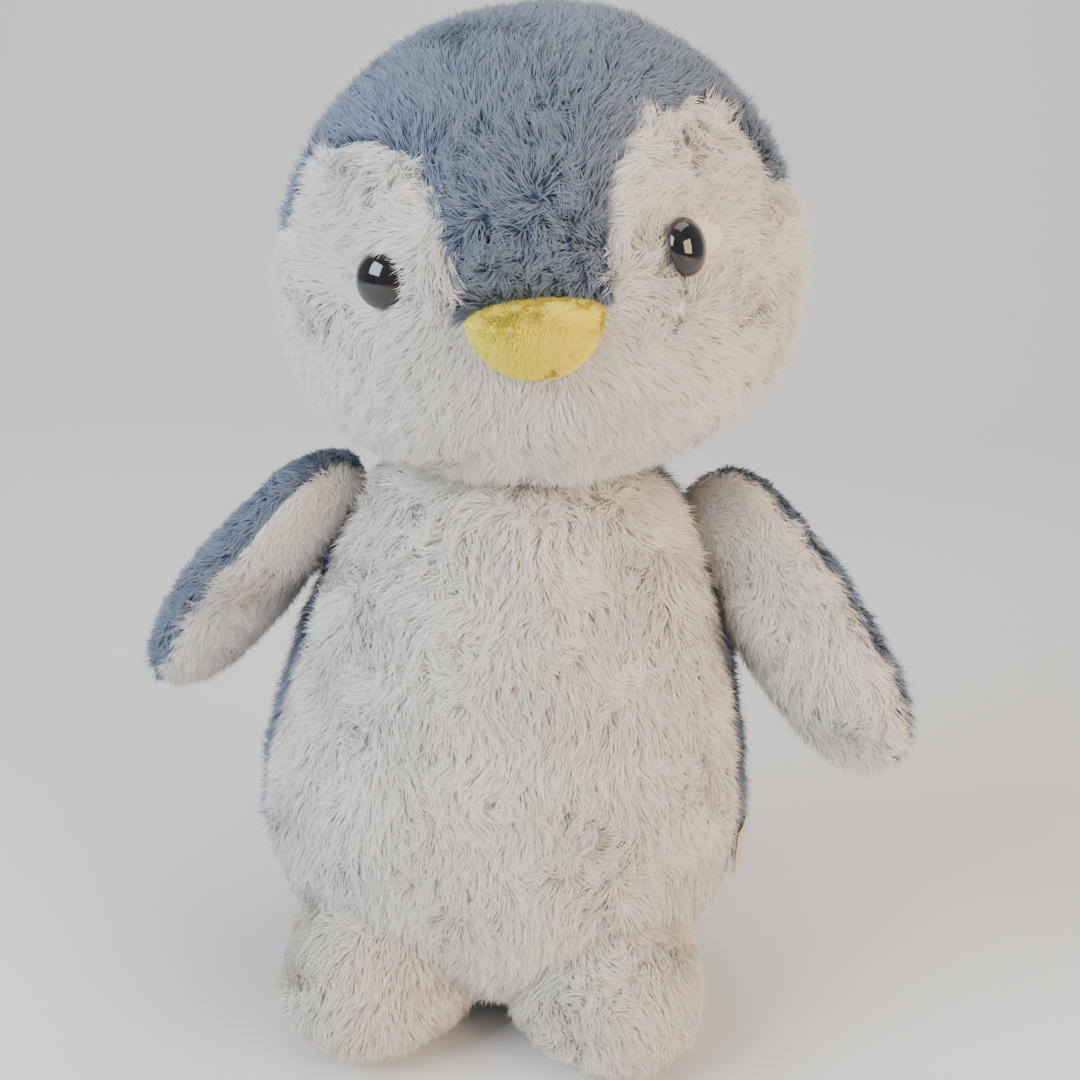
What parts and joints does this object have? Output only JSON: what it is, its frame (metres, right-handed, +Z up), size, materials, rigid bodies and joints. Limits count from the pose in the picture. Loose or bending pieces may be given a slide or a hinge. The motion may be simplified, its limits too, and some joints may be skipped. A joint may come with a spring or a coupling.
{
  "type": "plush penguin",
  "caption": "Soft standing penguin with a big round leaning head, pear-shaped body, flipper wings and stubby splayed feet.",
  "frame": {"origin": "on the floor, at the middle of the body's flat base", "axes": "the toy faces -Y, +X is on the viewer's right, +Z is up from the floor to the crown"},
  "size_m": [0.2439, 0.1352, 0.3007],
  "materials": {
    "white_plush": "long clumped pile",
    "sole_plush": "flattened pile",
    "blue_plush": "long clumped pile",
    "yellow_fleece": "short nubby pile",
    "black_eye": "polished",
    "washer_plastic": "moulded",
    "fibre_fill": "loose fibre",
    "sewing_thread": "twisted thread",
    "label_ribbon": "satin ribbon"
  },
  "bodies": {
    "torso": {"belly_panel": "white_plush", "back_panel_left": "blue_plush", "back_panel_right": "blue_plush", "base_panel": "blue_plush", "body_stuffing": "fibre_fill", "closing_thread": "sewing_thread", "side_label": "label_ribbon", "foot_upper_left": "white_plush", "foot_sole_left": "sole_plush", "foot_stuffing_left": "fibre_fill", "foot_upper_right": "white_plush", "foot_sole_right": "sole_plush", "foot_stuffing_right": "fibre_fill"},
    "neck": {"neck_stuffing": "fibre_fill", "neck_seam_thread": "sewing_thread"},
    "head": {"crown_gusset": "blue_plush", "head_back_left": "blue_plush", "head_back_right": "blue_plush", "cheek_left": "white_plush", "cheek_right": "white_plush", "head_stuffing": "fibre_fill", "beak_upper": "yellow_fleece", "beak_lower": "yellow_fleece", "beak_stuffing": "fibre_fill", "eye_left": "black_eye", "eye_right": "black_eye", "eye_washer_left": "washer_plastic", "eye_washer_right": "washer_plastic"},
    "left_wing": {"wing_inner_left": "white_plush", "wing_outer_left": "blue_plush", "wing_stuffing_left": "fibre_fill"},
    "right_wing": {"wing_inner_right": "white_plush", "wing_outer_right": "blue_plush", "wing_stuffing_right": "fibre_fill"}
  },
  "joints": [
    {"name": "head_tilt", "type": "hinge", "parent": "torso", "child": "neck", "pos_m": [0, 0, 0.157], "axis": [0, 1, 0], "range_deg": [-4, 13], "stiffness_Nm_per_rad": 0.8},
    {"name": "head_nod", "type": "hinge", "parent": "neck", "child": "head", "pos_m": [0, 0, 0.157], "axis": [1, 0, 0], "range_deg": [-10, 12], "stiffness_Nm_per_rad": 0.8},
    {"name": "left_wing_lift", "type": "hinge", "parent": "torso", "child": "left_wing", "pos_m": [-0.0656, 0, 0.153], "axis": [0, 1, 0], "range_deg": [0, 40], "stiffness_Nm_per_rad": 0.15},
    {"name": "right_wing_lift", "type": "hinge", "parent": "torso", "child": "right_wing", "pos_m": [0.0656, 0, 0.153], "axis": [0, -1, 0], "range_deg": [0, 40], "stiffness_Nm_per_rad": 0.15}
  ]
}
